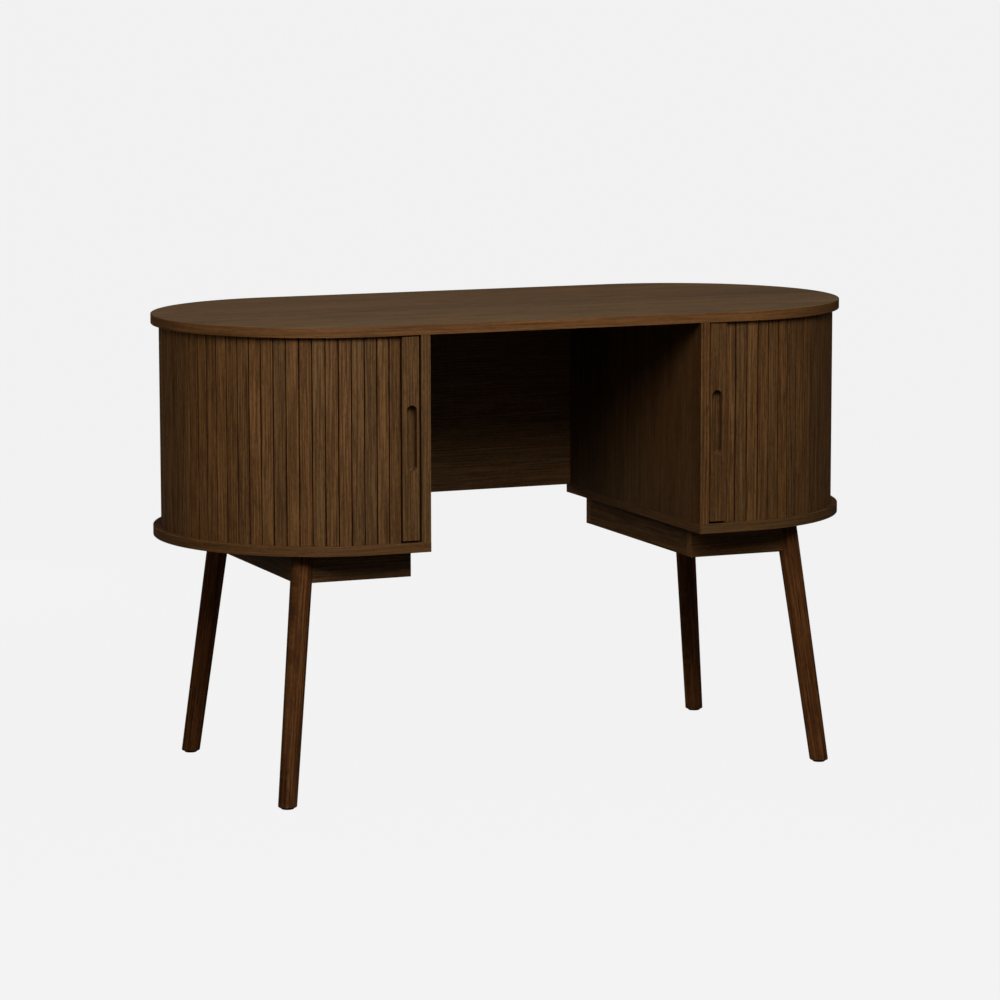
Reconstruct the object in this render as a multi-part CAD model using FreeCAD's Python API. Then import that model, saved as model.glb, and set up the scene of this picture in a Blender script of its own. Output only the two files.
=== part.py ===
import FreeCAD, Part
import os
import math
from FreeCAD import Vector

# Oval desk with two tambour-door pedestals.
# Frame: millimetres, +Z up, floor at Z = 0. X is the long axis, -Y is the user's side with the
# knee hole and the door handles, +Y is the back. The origin is on the floor under the middle.
# "Left" is -X. Every left-hand piece is made once and mirrored to the right.

os.makedirs("parts", exist_ok=True)

# ---------------------------------------------------------------- driving dimensions
WIDTH = 1200.0            # overall, X
DEPTH = 560.0             # overall, Y
HEIGHT = 770.0            # overall, Z
BOARD = 16.0              # veneered board thickness
BAND = 1.0                # edge band thickness
BAND_CHAMFER = 0.45       # eased edge of the band

Z_BOTTOM = 405.0          # underside of the bottom panels
Z_FLOOR = Z_BOTTOM + BOARD        # cabinet floor
Z_TOP = HEIGHT - BOARD            # underside of the desk top

R_END = DEPTH / 2.0               # round end radius of the outline
CX = WIDTH / 2.0 - R_END          # centre of a round end, |X|
Y_FRONT = -DEPTH / 2.0
Y_BACK = 270.0            # back plane of the carcass, 10 mm inside the top's back edge
Y_MID = (Y_FRONT + Y_BACK) / 2.0  # the carcass is symmetric about this plane

KNEE = 238.0              # |X| of the side panels' faces in the knee hole
SIDE_OUT = KNEE + BOARD   # |X| of their faces inside the cabinets

# tambour doors, measured from the centre of the track's circle
CY = -3.0                 # Y of that centre: the track sits a little nearer the front than the back
R_FACE = 267.5            # front face of the slats
SLAT_T = 8.0              # slat thickness
SLAT_W = 19.6             # slat width
SLAT_N = 26               # slats in each door
SLAT_PITCH = 4.475        # degrees
SLAT_START = -7.645       # degrees from the front tangent, positive round the end
SLAT_CHAMFER = 0.70       # eased front edges of a slat
R_BACKF = R_FACE - SLAT_T         # back face of the slats
CANVAS_T = 0.6
TAIL_GAP = 0.15           # degrees
TAIL_W = 2.5              # degrees, tail batten
GROOVE_IN = R_BACKF - 0.4         # track walls
GROOVE_OUT = R_FACE + 0.6
GROOVE_D = 8.0            # track depth in each panel
GROOVE_END = 166.6        # degrees, where the track stops
TONGUE_Z0 = Z_FLOOR - GROOVE_D + 0.3
TONGUE_Z1 = Z_TOP + GROOVE_D - 0.5

STILE_W = 28.9            # handle stile
STILE_GAP = 2.5           # shut line beside the side panel
STILE_Y = -277.0          # its front face, a little behind the side panel's front edge
STILE_Z0 = Z_FLOOR + 3.5
STILE_Z1 = Z_TOP - 2.0
PULL_L = 106.0            # routed finger pull
PULL_W = 17.4
PULL_D = 13.0
PULL_Z = 588.5
PULL_X = 269.2            # |X| of the pull's centre

STRIP_T = 4.0             # clamp strip behind the stile

SHELL_OUT = 252.0         # fixed rear shell, bent plywood
SHELL_T = 6.0
SHELL_A0 = 107.0          # degrees where the shell starts
SHELL_HOUSING = 5.0       # depth of its housing in the panels

SHELF_R = 243.0
SHELF_Y0 = -150.0         # straight front edge of the shelf
SHELF_Z = 579.0           # underside of the shelf

PLINTH_IN = 250.0         # |X| of the inner rail's outer face
PLINTH_OUT = 446.0        # |X| of the outer rail's outer face
PLINTH_F = -220.0         # Y of the front rail's face
PLINTH_Z = 357.0          # lower edge of the rails

LEG_TOP = (430.5, -207.5) # |X|, Y of the front leg's axis at the bottom panel
LEG_FOOT = (476.0, -251.0)# |X|, Y of the same axis at the floor
LEG_R_TOP = 17.9
LEG_R_FOOT = 15.3
GLIDE_H = 3.0
GLIDE_R = 10.5

FIT = 0.05                # radial room round pins, dowels and screws in their bores

# ---------------------------------------------------------------- helpers
def box(x0, x1, y0, y1, z0, z1):
    return Part.makeBox(x1 - x0, y1 - y0, z1 - z0, Vector(x0, y0, z0))


def cyl(p, d, r, h):
    return Part.makeCylinder(r, h, Vector(*p), Vector(*d))


def polar(r, deg, z=0.0):
    """Point at radius r from the left track's centre; 0 deg is the front tangent, 90 the far left."""
    a = math.radians(deg)
    return Vector(-CX - r * math.sin(a), CY - r * math.cos(a), z)


def sector(r0, r1, a0, a1, z0, z1):
    """Solid ring sector round the left track's centre."""
    am = 0.5 * (a0 + a1)
    e = [Part.Arc(polar(r0, a0, z0), polar(r0, am, z0), polar(r0, a1, z0)).toShape(),
         Part.makeLine(polar(r0, a1, z0), polar(r1, a1, z0)),
         Part.Arc(polar(r1, a1, z0), polar(r1, am, z0), polar(r1, a0, z0)).toShape(),
         Part.makeLine(polar(r1, a0, z0), polar(r0, a0, z0))]
    return Part.Face(Part.Wire(e)).extrude(Vector(0, 0, z1 - z0))


def prism(points, z0, z1):
    pts = [Vector(x, y, z0) for x, y in points]
    pts.append(pts[0])
    return Part.Face(Part.makePolygon(pts)).extrude(Vector(0, 0, z1 - z0))


def stadium(inset, z0, z1):
    """The desk top's outline, inset all round."""
    r = R_END - inset
    c = CX
    e = [Part.makeLine(Vector(-c, -r, z0), Vector(c, -r, z0)),
         Part.Arc(Vector(c, -r, z0), Vector(c + r, 0, z0), Vector(c, r, z0)).toShape(),
         Part.makeLine(Vector(c, r, z0), Vector(-c, r, z0)),
         Part.Arc(Vector(-c, r, z0), Vector(-c - r, 0, z0), Vector(-c, -r, z0)).toShape()]
    return Part.Face(Part.Wire(e)).extrude(Vector(0, 0, z1 - z0))


def pedestal_outline(inset, z0, z1):
    """Left pedestal's outline: the round end, cut straight at the knee hole and at the back."""
    s = stadium(inset, z0, z1)
    return s.common(box(-WIDTH, -KNEE - inset, -DEPTH, Y_BACK - inset, z0 - 1, z1 + 1))


def eased(solid, c):
    """Ease the upper and lower outline edges."""
    zs = (solid.BoundBox.ZMin, solid.BoundBox.ZMax)
    edges = [e for e in solid.Edges
             if abs(e.BoundBox.ZMax - e.BoundBox.ZMin) < 1e-6
             and min(abs(e.BoundBox.ZMin - z) for z in zs) < 1e-6]
    return solid.makeChamfer(c, edges)


def flip_x(shape):
    return shape.mirror(Vector(0, 0, 0), Vector(1, 0, 0))


def flip_y(shape):
    return shape.mirror(Vector(0, Y_MID, 0), Vector(0, 1, 0))


def cut(shape, tools):
    for t in tools:
        shape = shape.cut(t)
    return shape


written = {}


def save(name, shapes):
    """Write one node; shapes is one shape or a list of separate solids."""
    if not isinstance(shapes, (list, tuple)):
        shapes = [shapes]
    solids = []
    for s in shapes:
        solids.extend(s.Solids)
    out = solids[0] if len(solids) == 1 else Part.makeCompound(solids)
    for s in solids:
        if not s.isValid() or s.Volume <= 0:
            print("CHECK", name, s.isValid(), round(s.Volume, 3))
    out.exportStep("parts/%s.step" % name)
    written[name] = out
    bb = out.BoundBox
    print("%-26s %2d solids  %10.1f mm3  X %8.2f %8.2f  Y %8.2f %8.2f  Z %7.2f %7.2f" % (
        name, len(solids), sum(s.Volume for s in solids),
        bb.XMin, bb.XMax, bb.YMin, bb.YMax, bb.ZMin, bb.ZMax))


def save_pair(name, shapes):
    if not isinstance(shapes, (list, tuple)):
        shapes = [shapes]
    save("left_" + name, shapes)
    save("right_" + name, [flip_x(s) for s in shapes])


# ---------------------------------------------------------------- fasteners (left half, then mirrored)
# Each joint gives the solids that go in it, and the bores that its boards get.
CAM_R = 7.5
CAM_L = 12.3
PIN_R = 3.0
HEAD_R = 3.4
THREAD_R = 2.5
PIN_IN = 10.0             # threaded length of a cam dowel
PIN_OUT = 30.0            # from the joint face to the middle of its cam


def cam_dowel(p, d):
    """Steel cam dowel: p on the joint face, d into the board that holds the cam."""
    p = Vector(*p)
    d = Vector(*d)
    thread = Part.makeCylinder(THREAD_R, PIN_IN, p - d * PIN_IN, d)
    shaft = Part.makeCylinder(PIN_R, PIN_OUT - 3.0, p, d)
    neck = Part.makeCylinder(2.0, 3.0, p + d * (PIN_OUT - 3.0), d)
    head = Part.makeCylinder(HEAD_R, 3.0, p + d * PIN_OUT, d)
    return thread.fuse([shaft, neck, head]).removeSplitter()


def cam_dowel_bores(p, d):
    """(bore in the board that holds the thread, bore in the board that holds the cam)"""
    p = Vector(*p)
    d = Vector(*d)
    a = Part.makeCylinder(THREAD_R + FIT, PIN_IN + 0.2, p - d * (PIN_IN + 0.2), d)
    b = Part.makeCylinder(HEAD_R + 0.3, PIN_OUT + 4.0, p, d)
    return a, b


def cam_lock(p, d, n):
    """Cam on the axis n (pointing out of the board's face) at the dowel's head."""
    p = Vector(*p)
    d = Vector(*d)
    n = Vector(*n)
    c = p + d * (PIN_OUT + 1.0)
    return c, n


def make_cam(c, n, face_offset, d):
    """Cam body whose outer face is 0.2 mm under the board's face, at c + n * face_offset."""
    outer = c + n * (face_offset - 0.2)
    body = Part.makeCylinder(CAM_R, CAM_L, outer - n * CAM_L, n)
    # hook slot for the dowel's head, open towards the dowel
    slot = Part.makeCylinder(HEAD_R + 0.35, CAM_R + 5.2, c + d * 5.0, Vector(-d.x, -d.y, -d.z))
    body = body.cut(slot)
    # cross recess for the driver
    t = n.cross(Vector(d.x, d.y, d.z))
    for a in (Vector(d.x, d.y, d.z), t):
        b = n.cross(a)
        q = outer - n * 2.2
        pts = [q + a * 2.6 + b * 0.5, q + a * 2.6 - b * 0.5, q - a * 2.6 - b * 0.5, q - a * 2.6 + b * 0.5]
        pts.append(pts[0])
        body = body.cut(Part.Face(Part.makePolygon(pts)).extrude(n * 3.0))
    return body


def cam_bore(c, n, face_offset):
    outer = c + n * (face_offset + 0.5)
    return Part.makeCylinder(CAM_R + FIT, CAM_L + 0.9, outer - n * (CAM_L + 0.9), n)


def wood_dowel(p, d, inside, length=30.0, r=4.0):
    """Fluted-less hardwood dowel, eased ends; p on the joint face, inside = depth behind it."""
    p = Vector(*p)
    d = Vector(*d)
    s = Part.makeCylinder(r, length, p - d * inside, d)
    s = s.makeChamfer(0.8, [e for e in s.Edges if isinstance(e.Curve, Part.Circle)])
    a = Part.makeCylinder(r + FIT, inside + 0.5, p - d * (inside + 0.5), d)
    b = Part.makeCylinder(r + FIT, length - inside + 0.5, p, d)
    return s, a, b


cam_dowels, cam_locks, cam_caps, wood_dowels = [], [], [], []
top_cuts, side_cuts, modesty_cuts, bottom_cuts = [], [], [], []     # for the left half

X_SIDE = -(KNEE + SIDE_OUT) / 2.0     # middle of the left side panel's edge
# side panel to desk top: dowels hang from the top, cams in the panel's cabinet face
for y in (-215.0, -5.0, 205.0):
    p, d = (X_SIDE, y, Z_TOP), (0, 0, -1)
    cam_dowels.append(cam_dowel(p, d))
    a, b = cam_dowel_bores(p, d)
    top_cuts.append(a)
    side_cuts.append(b)
    c, n = cam_lock(p, d, (-1, 0, 0))
    cam_locks.append(make_cam(c, n, BOARD / 2, Vector(*d)))
    side_cuts.append(cam_bore(c, n, BOARD / 2))
for y in (-110.0, 100.0):
    s, a, b = wood_dowel((X_SIDE, y, Z_TOP), (0, 0, -1), 9.0)
    wood_dowels.append(s)
    top_cuts.append(a)
    side_cuts.append(b)
# modesty panel to side panel: dowels stand out of the side panel, cams in the modesty's back
Y_MOD0 = Y_BACK - BOARD
Y_MOD = (Y_MOD0 + Y_BACK) / 2.0
for z in (470.0, 690.0):
    p, d = (-KNEE, Y_MOD, z), (1, 0, 0)
    cam_dowels.append(cam_dowel(p, d))
    a, b = cam_dowel_bores(p, d)
    side_cuts.append(a)
    modesty_cuts.append(b)
    c, n = cam_lock(p, d, (0, 1, 0))
    cam_locks.append(make_cam(c, n, BOARD / 2, Vector(*d)))
    modesty_cuts.append(cam_bore(c, n, BOARD / 2))
    cap = Part.makeCylinder(8.6, 0.9, Vector(c.x, Y_BACK + 0.02, c.z), Vector(0, 1, 0))
    cam_caps.append(cap.makeChamfer(0.35, [e for e in cap.Edges if abs(e.BoundBox.YMin - (Y_BACK + 0.92)) < 1e-3
                                           and isinstance(e.Curve, Part.Circle)]))
s, a, b = wood_dowel((-KNEE, Y_MOD, 580.0), (1, 0, 0), 9.0)
wood_dowels.append(s)
side_cuts.append(a)
modesty_cuts.append(b)
# modesty panel to desk top
p, d = (-120.0, Y_MOD, Z_TOP), (0, 0, -1)
cam_dowels.append(cam_dowel(p, d))
a, b = cam_dowel_bores(p, d)
top_cuts.append(a)
modesty_cuts.append(b)
c, n = cam_lock(p, d, (0, 1, 0))
cam_locks.append(make_cam(c, n, BOARD / 2, Vector(*d)))
modesty_cuts.append(cam_bore(c, n, BOARD / 2))
cap = Part.makeCylinder(8.6, 0.9, Vector(c.x, Y_BACK + 0.02, c.z), Vector(0, 1, 0))
cam_caps.append(cap.makeChamfer(0.35, [e for e in cap.Edges if abs(e.BoundBox.YMin - (Y_BACK + 0.92)) < 1e-3
                                       and isinstance(e.Curve, Part.Circle)]))
# side panel to bottom panel: long screws from below at the two ends, wood dowels between
long_screws = []
for y in (-246.0, 236.0):
    head = Part.makeCone(5.0, 3.4, 3.0, Vector(X_SIDE, y, Z_BOTTOM + 0.2), Vector(0, 0, 1))
    shank = Part.makeCylinder(3.4, 9.0, Vector(X_SIDE, y, Z_BOTTOM + 3.2), Vector(0, 0, 1))
    thread = Part.makeCylinder(2.6, 36.0, Vector(X_SIDE, y, Z_BOTTOM + 12.2), Vector(0, 0, 1))
    scr = head.fuse([shank, thread]).removeSplitter()
    hexsocket = prism([(X_SIDE + 2.0 * math.cos(math.radians(60 * i)), y + 2.0 * math.sin(math.radians(60 * i)))
                       for i in range(6)], Z_BOTTOM - 1.0, Z_BOTTOM + 3.0)
    long_screws.append(scr.cut(hexsocket))
    bottom_cuts.append(Part.makeCone(5.0 + 0.12, 3.4 + FIT, 3.2, Vector(X_SIDE, y, Z_BOTTOM), Vector(0, 0, 1)))
    bottom_cuts.append(cyl((X_SIDE, y, Z_BOTTOM + 3.1), (0, 0, 1), 3.4 + FIT, 20.0))
    side_cuts.append(cyl((X_SIDE, y, Z_FLOOR - 1), (0, 0, 1), 2.6 + FIT, 34.0))
for y in (-110.0, -5.0, 100.0):
    s, a, b = wood_dowel((X_SIDE, y, Z_FLOOR), (0, 0, 1), 10.0)
    wood_dowels.append(s)
    bottom_cuts.append(a)
    side_cuts.append(b)

# ---------------------------------------------------------------- tambour track and shell housing
left_half = box(-WIDTH, -SIDE_OUT, -DEPTH, DEPTH, 0, 2 * HEIGHT)
track_low = sector(GROOVE_IN, GROOVE_OUT, -16.0, GROOVE_END, Z_FLOOR - GROOVE_D, Z_FLOOR + 5.0).common(left_half)
track_high = sector(GROOVE_IN, GROOVE_OUT, -16.0, GROOVE_END, Z_TOP - 5.0, Z_TOP + GROOVE_D).common(left_half)
R_SH0, R_SH1 = SHELL_OUT - SHELL_T, SHELL_OUT
housing_low = sector(R_SH0 - 0.1, R_SH1 + 0.1, SHELL_A0 - 0.1, 197.0, Z_FLOOR - SHELL_HOUSING, Z_FLOOR + 5.0).common(left_half)
housing_high = sector(R_SH0 - 0.1, R_SH1 + 0.1, SHELL_A0 - 0.1, 197.0, Z_TOP - 5.0, Z_TOP + SHELL_HOUSING).common(left_half)

# ---------------------------------------------------------------- desk top
full = eased(stadium(0.0, Z_TOP, HEIGHT), BAND_CHAMFER)
core = stadium(BAND, Z_TOP, HEIGHT)
band = full.cut(core)
top = core
for t in [track_high, housing_high] + top_cuts:
    top = top.cut(t).cut(flip_x(t))
save("desk_top", top)
save("desk_top_edge_band", band)

# ---------------------------------------------------------------- pedestal bottom panels
# corner blocks and rail dowels also enter the panel's underside
BLK_Z0 = PLINTH_Z + 4.0
RAIL_T = BOARD
y_blk0 = PLINTH_F + RAIL_T
x_blk0 = -(PLINTH_IN + RAIL_T)
block_tri = [(x_blk0 - 0.02, y_blk0 + 0.02), (x_blk0 - 42.0, y_blk0 + 0.02), (x_blk0 - 42.0, y_blk0 + 10.0),
             (x_blk0 - 10.0, y_blk0 + 42.0), (x_blk0 - 0.02, y_blk0 + 42.0)]
BLK_SCREW = (x_blk0 - 17.0, y_blk0 + 17.0)
blk = prism(block_tri, BLK_Z0, Z_BOTTOM)
blk = blk.cut(cyl((BLK_SCREW[0], BLK_SCREW[1], BLK_Z0 - 1), (0, 0, 1), 2.1 + FIT, 60.0))
blk = blk.cut(cyl((BLK_SCREW[0], BLK_SCREW[1], BLK_Z0 - 1), (0, 0, 1), 4.4, 7.0))
blk_screw = cyl((BLK_SCREW[0], BLK_SCREW[1], BLK_Z0 + 3.6), (0, 0, 1), 4.0, 2.4).fuse(
    cyl((BLK_SCREW[0], BLK_SCREW[1], BLK_Z0 + 6.0), (0, 0, 1), 2.1, 50.0)).removeSplitter()
blk_screw = blk_screw.cut(box(BLK_SCREW[0] - 2.6, BLK_SCREW[0] + 2.6, BLK_SCREW[1] - 0.5, BLK_SCREW[1] + 0.5,
                              BLK_Z0 + 3.0, BLK_Z0 + 5.0))
blk_screw = blk_screw.cut(box(BLK_SCREW[0] - 0.5, BLK_SCREW[0] + 0.5, BLK_SCREW[1] - 2.6, BLK_SCREW[1] + 2.6,
                              BLK_Z0 + 3.0, BLK_Z0 + 5.0))
blk_bore = cyl((BLK_SCREW[0], BLK_SCREW[1], Z_BOTTOM - 1), (0, 0, 1), 2.1 + FIT, BLK_Z0 + 56.2 - Z_BOTTOM + 1)
blk_back = flip_y(blk)
bottom_cuts += [blk_bore, flip_y(blk_bore)]

pfull = eased(pedestal_outline(0.0, Z_BOTTOM, Z_FLOOR), BAND_CHAMFER)
pcore = pedestal_outline(BAND, Z_BOTTOM, Z_FLOOR)
pband = pfull.cut(pcore)
bottom = cut(pcore, [track_low, housing_low] + bottom_cuts)
save_pair("bottom_panel", bottom)
save_pair("bottom_edge_band", pband)

# ---------------------------------------------------------------- side panels
side = box(-SIDE_OUT, -KNEE, Y_FRONT, Y_BACK, Z_FLOOR, Z_TOP)
side = side.makeChamfer(0.35, [e for e in side.Edges if abs(e.BoundBox.YMax - Y_FRONT) < 1e-6
                               and abs(e.BoundBox.ZMax - e.BoundBox.ZMin) > 10])
shelf_pin_y = (-105.0, 190.0)
PIN_RAD = 2.5
PIN_Z = SHELF_Z - PIN_RAD
shelf_pins = []
for y in shelf_pin_y:
    side = side.cut(cyl((-SIDE_OUT - 1, y, PIN_Z), (1, 0, 0), PIN_RAD + FIT, 9.2))
    shelf_pins.append(cyl((-SIDE_OUT - 8.0, y, PIN_Z), (1, 0, 0), PIN_RAD, 16.0))
# battens' screws enter the side panel
cleat_y0 = 222.0
CLEAT_SC_Z = (455.0, 587.5, 720.0)
for z in CLEAT_SC_Z:
    side_cuts.append(cyl((-SIDE_OUT - 1, 229.0, z), (1, 0, 0), 1.75 + FIT, 11.3))
side = cut(side, side_cuts)
save_pair("side_panel", side)

# ---------------------------------------------------------------- modesty panel
mod = box(-KNEE, KNEE, Y_MOD0, Y_BACK, Z_FLOOR, Z_TOP)
mod = mod.makeChamfer(0.35, [e for e in mod.Edges if abs(e.BoundBox.ZMax - Z_FLOOR) < 1e-6
                             and abs(e.BoundBox.XMax - e.BoundBox.XMin) > 10])
for t in modesty_cuts:
    mod = mod.cut(t).cut(flip_x(t))
save("modesty_panel", mod)

# ---------------------------------------------------------------- fixed rear shells, their battens and screws
shell = sector(R_SH0, R_SH1, SHELL_A0, 197.0, Z_FLOOR - SHELL_HOUSING + 0.2, Z_TOP + SHELL_HOUSING - 0.2)
shell = shell.common(box(-WIDTH, -SIDE_OUT - 0.05, -DEPTH, DEPTH, 0, 2 * HEIGHT))
shell_pin_a = (121.0, 160.0)
for a in shell_pin_a:
    q = polar(R_SH1 + 1.0, a, PIN_Z)
    d = polar(0.0, a) - polar(1.0, a)
    shell = shell.cut(Part.makeCylinder(PIN_RAD + FIT, 10.0, q, d))
    shelf_pins.append(Part.makeCylinder(PIN_RAD, 18.0, polar(R_SH1 + 0.0, a, PIN_Z), d))
cleat = box(-SIDE_OUT - 15.0, -SIDE_OUT - 0.03, cleat_y0, 246.0, Z_FLOOR + 3.0, Z_TOP - 3.0)
cleat = cleat.common(Part.makeCylinder(R_SH0 - 0.05, 600.0, Vector(-CX, CY, 300.0), Vector(0, 0, 1)))
cleat_screws = []
for z in CLEAT_SC_Z:
    cleat = cleat.cut(cyl((-SIDE_OUT - 20.0, 229.0, z), (1, 0, 0), 1.75 + FIT, 40.0))
    cleat = cleat.cut(Part.makeCone(3.6 + 0.1, 1.75, 2.3, Vector(-SIDE_OUT - 15.02, 229.0, z), Vector(1, 0, 0)))
    scr = Part.makeCone(3.5, 1.75, 2.0, Vector(-SIDE_OUT - 14.9, 229.0, z), Vector(1, 0, 0)).fuse(
        cyl((-SIDE_OUT - 12.9, 229.0, z), (1, 0, 0), 1.75, 22.7)).removeSplitter()
    cleat_screws.append(scr)
save_pair("rear_shell", shell)
save_pair("shell_batten", cleat)

# ---------------------------------------------------------------- shelves and pins
shelf = Part.makeCylinder(SHELF_R, BOARD, Vector(-CX, CY, SHELF_Z), Vector(0, 0, 1))
shelf = shelf.common(box(-WIDTH, -SIDE_OUT - 0.8, SHELF_Y0, DEPTH, SHELF_Z - 1, SHELF_Z + BOARD + 1))
shelf = shelf.cut(box(-SIDE_OUT - 17.0, -SIDE_OUT + 1.0, cleat_y0 - 2.0, DEPTH, SHELF_Z - 1, SHELF_Z + BOARD + 1))
save_pair("shelf", shelf)
save("shelf_pins", shelf_pins + [flip_x(s) for s in shelf_pins])

# ---------------------------------------------------------------- legs
def leg_axis(z):
    t = 1.0 - z / Z_BOTTOM
    return Vector(-(LEG_TOP[0] + (LEG_FOOT[0] - LEG_TOP[0]) * t), LEG_TOP[1] + (LEG_FOOT[1] - LEG_TOP[1]) * t, z)


def leg_radius(z):
    return LEG_R_FOOT + (LEG_R_TOP - LEG_R_FOOT) * z / Z_BOTTOM


def leg_cone(grow=0.0, z0=-40.0, z1=450.0):
    a, b = leg_axis(z0), leg_axis(z1)
    return Part.makeCone(leg_radius(z0) + grow, leg_radius(z1) + grow, (b - a).Length, a, b - a)


slab = box(-WIDTH, WIDTH, -DEPTH, DEPTH, GLIDE_H, Z_BOTTOM - 0.02)
leg = leg_cone().common(slab)
foot_edges = [e for e in leg.Edges if abs(e.BoundBox.ZMax - GLIDE_H) < 1e-4]
leg = leg.makeChamfer(1.2, foot_edges)
g0 = leg_axis(GLIDE_H)
leg = leg.cut(cyl((g0.x, g0.y, GLIDE_H - 1), (0, 0, 1), 1.6 + FIT, 19.3))
# hanger bolt into the leg, along the corner's diagonal
ZB = (PLINTH_Z + Z_BOTTOM) / 2.0
ax = leg_axis(ZB)
DIAG = Vector(1, 1, 0).normalize()
BOLT_R = 3.0
leg = leg.cut(Part.makeCylinder(BOLT_R + FIT, 40.0, ax - DIAG * 8.2, DIAG))
glide = cyl((g0.x, g0.y, 0.0), (0, 0, 1), GLIDE_R, GLIDE_H)
glide = glide.makeChamfer(0.7, [e for e in glide.Edges if abs(e.BoundBox.ZMax) < 1e-6])
glide = glide.cut(cyl((g0.x, g0.y, -1), (0, 0, 1), 1.6 + FIT, 6.0)).cut(cyl((g0.x, g0.y, -1), (0, 0, 1), 3.4, 2.9))
glide_screw = cyl((g0.x, g0.y, 0.7), (0, 0, 1), 3.1, 1.15).fuse(
    cyl((g0.x, g0.y, 1.85), (0, 0, 1), 1.6, 19.0)).removeSplitter()
glide_screw = glide_screw.cut(box(g0.x - 2.2, g0.x + 2.2, g0.y - 0.35, g0.y + 0.35, 0.0, 1.3))
save("left_front_leg", leg)
save("left_back_leg", flip_y(leg))
save("right_front_leg", flip_x(leg))
save("right_back_leg", flip_x(flip_y(leg)))


def four(s):
    return [s, flip_y(s), flip_x(s), flip_x(flip_y(s))]


save("leg_glides", four(glide))
save("glide_screws", four(glide_screw))

# ---------------------------------------------------------------- leg brackets
D_PLATE = 27.0            # from the leg's axis to the plate's near face
PLATE_T = 2.5
FL = 20.0                 # flange length
BR_Z0, BR_Z1 = ZB - 18.0, ZB + 18.0
y_rail_in = PLINTH_F + RAIL_T         # front rail's inner face
x_rail_in = -(PLINTH_OUT - RAIL_T)    # outer rail's inner face
k = ax.x + ax.y + D_PLATE * math.sqrt(2.0)          # x + y on the plate's near face
k2 = k + PLATE_T * math.sqrt(2.0)
G = 0.05
p1 = (k - (y_rail_in + G), y_rail_in + G)           # near face meets the front rail
p2 = (x_rail_in + G, k - (x_rail_in + G))           # near face meets the outer rail
t22 = PLATE_T * math.tan(math.radians(22.5))
outline = [p1, (p1[0] + FL, p1[1]), (p1[0] + FL, p1[1] + PLATE_T), (k2 - (p1[1] + PLATE_T), p1[1] + PLATE_T),
           (p2[0] + PLATE_T, k2 - (p2[0] + PLATE_T)), (p2[0] + PLATE_T, p2[1] + FL), (p2[0], p2[1] + FL), p2]
bracket = prism(outline, BR_Z0, BR_Z1)
bracket = bracket.cut(Part.makeCylinder(BOLT_R + 0.4, 60.0, ax, DIAG))
s1 = Vector(p1[0] + 12.0, p1[1], ZB)
s2 = Vector(p2[0], p2[1] + 12.0, ZB)
bracket = bracket.cut(Part.makeCylinder(2.0 + 0.15, 20.0, s1 - Vector(0, 5, 0), Vector(0, 1, 0)))
bracket = bracket.cut(Part.makeCylinder(2.0 + 0.15, 20.0, s2 - Vector(5, 0, 0), Vector(1, 0, 0)))


def pan_screw(p, d, length, r=2.0, head_r=3.8, head_h=2.2):
    """Pan-head screw: p on the surface under its head, d into the work."""
    p, d = Vector(p), Vector(d)
    head = Part.makeCylinder(head_r, head_h, p, d * -1.0)
    rim = [e for e in head.Edges if isinstance(e.Curve, Part.Circle)
           and (e.Curve.Center - (p - d * head_h)).Length < 1e-6]
    head = head.makeChamfer(0.7, rim)
    return head.fuse(Part.makeCylinder(r, length, p, d)).removeSplitter()


br_screws = [pan_screw(s1 + Vector(0, PLATE_T + 0.02, 0), Vector(0, -1, 0), 14.0),
             pan_screw(s2 + Vector(PLATE_T + 0.02, 0, 0), Vector(-1, 0, 0), 14.0)]
rail_bore_f = Part.makeCylinder(2.0 + FIT, 12.2, s1 + Vector(0, 0.3, 0), Vector(0, -1, 0))
rail_bore_o = Part.makeCylinder(2.0 + FIT, 12.2, s2 + Vector(0.3, 0, 0), Vector(-1, 0, 0))
bolt = Part.makeCylinder(BOLT_R, 8.0 + D_PLATE + PLATE_T + 12.0, ax - DIAG * 8.0, DIAG)
nut_p = ax + DIAG * (D_PLATE + PLATE_T + 0.03)
washer = Part.makeCylinder(8.0, 1.6, nut_p, DIAG).cut(Part.makeCylinder(BOLT_R + 0.3, 5.0, nut_p - DIAG, DIAG))
nz = nut_p + DIAG * 1.63
side_dir = DIAG.cross(Vector(0, 0, 1))
hexpts = [nz + side_dir * (5.77 * math.cos(math.radians(60 * i))) + Vector(0, 0, 5.77 * math.sin(math.radians(60 * i)))
          for i in range(6)]
hexpts.append(hexpts[0])
nut = Part.Face(Part.makePolygon(hexpts)).extrude(DIAG * 5.0)
nut = nut.cut(Part.makeCylinder(BOLT_R + FIT, 10.0, nz - DIAG, DIAG))
save("leg_brackets", four(bracket))
save("bracket_screws", [q for s in br_screws for q in four(s)])
save("hanger_bolts", four(bolt))
save("hanger_bolt_nuts", four(washer) + four(nut))

# ---------------------------------------------------------------- plinth frames
leg_room = leg_cone(0.04)
front_rail = box(-(LEG_TOP[0] + 6.0), -PLINTH_IN, PLINTH_F, PLINTH_F + RAIL_T, PLINTH_Z, Z_BOTTOM - 0.02)
inner_rail = box(-(PLINTH_IN + RAIL_T), -PLINTH_IN, PLINTH_F + RAIL_T, 2 * Y_MID - PLINTH_F - RAIL_T,
                 PLINTH_Z, Z_BOTTOM - 0.02)
outer_rail = box(-PLINTH_OUT, -(PLINTH_OUT - RAIL_T), LEG_TOP[1] - 2.0, 2 * Y_MID - LEG_TOP[1] + 2.0,
                 PLINTH_Z, Z_BOTTOM - 0.02)


def ease_lower(s, c=0.6):
    es = [e for e in s.Edges if abs(e.BoundBox.ZMax - PLINTH_Z) < 1e-6
          and max(e.BoundBox.XMax - e.BoundBox.XMin, e.BoundBox.YMax - e.BoundBox.YMin) > 30]
    return s.makeChamfer(c, es)


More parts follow.
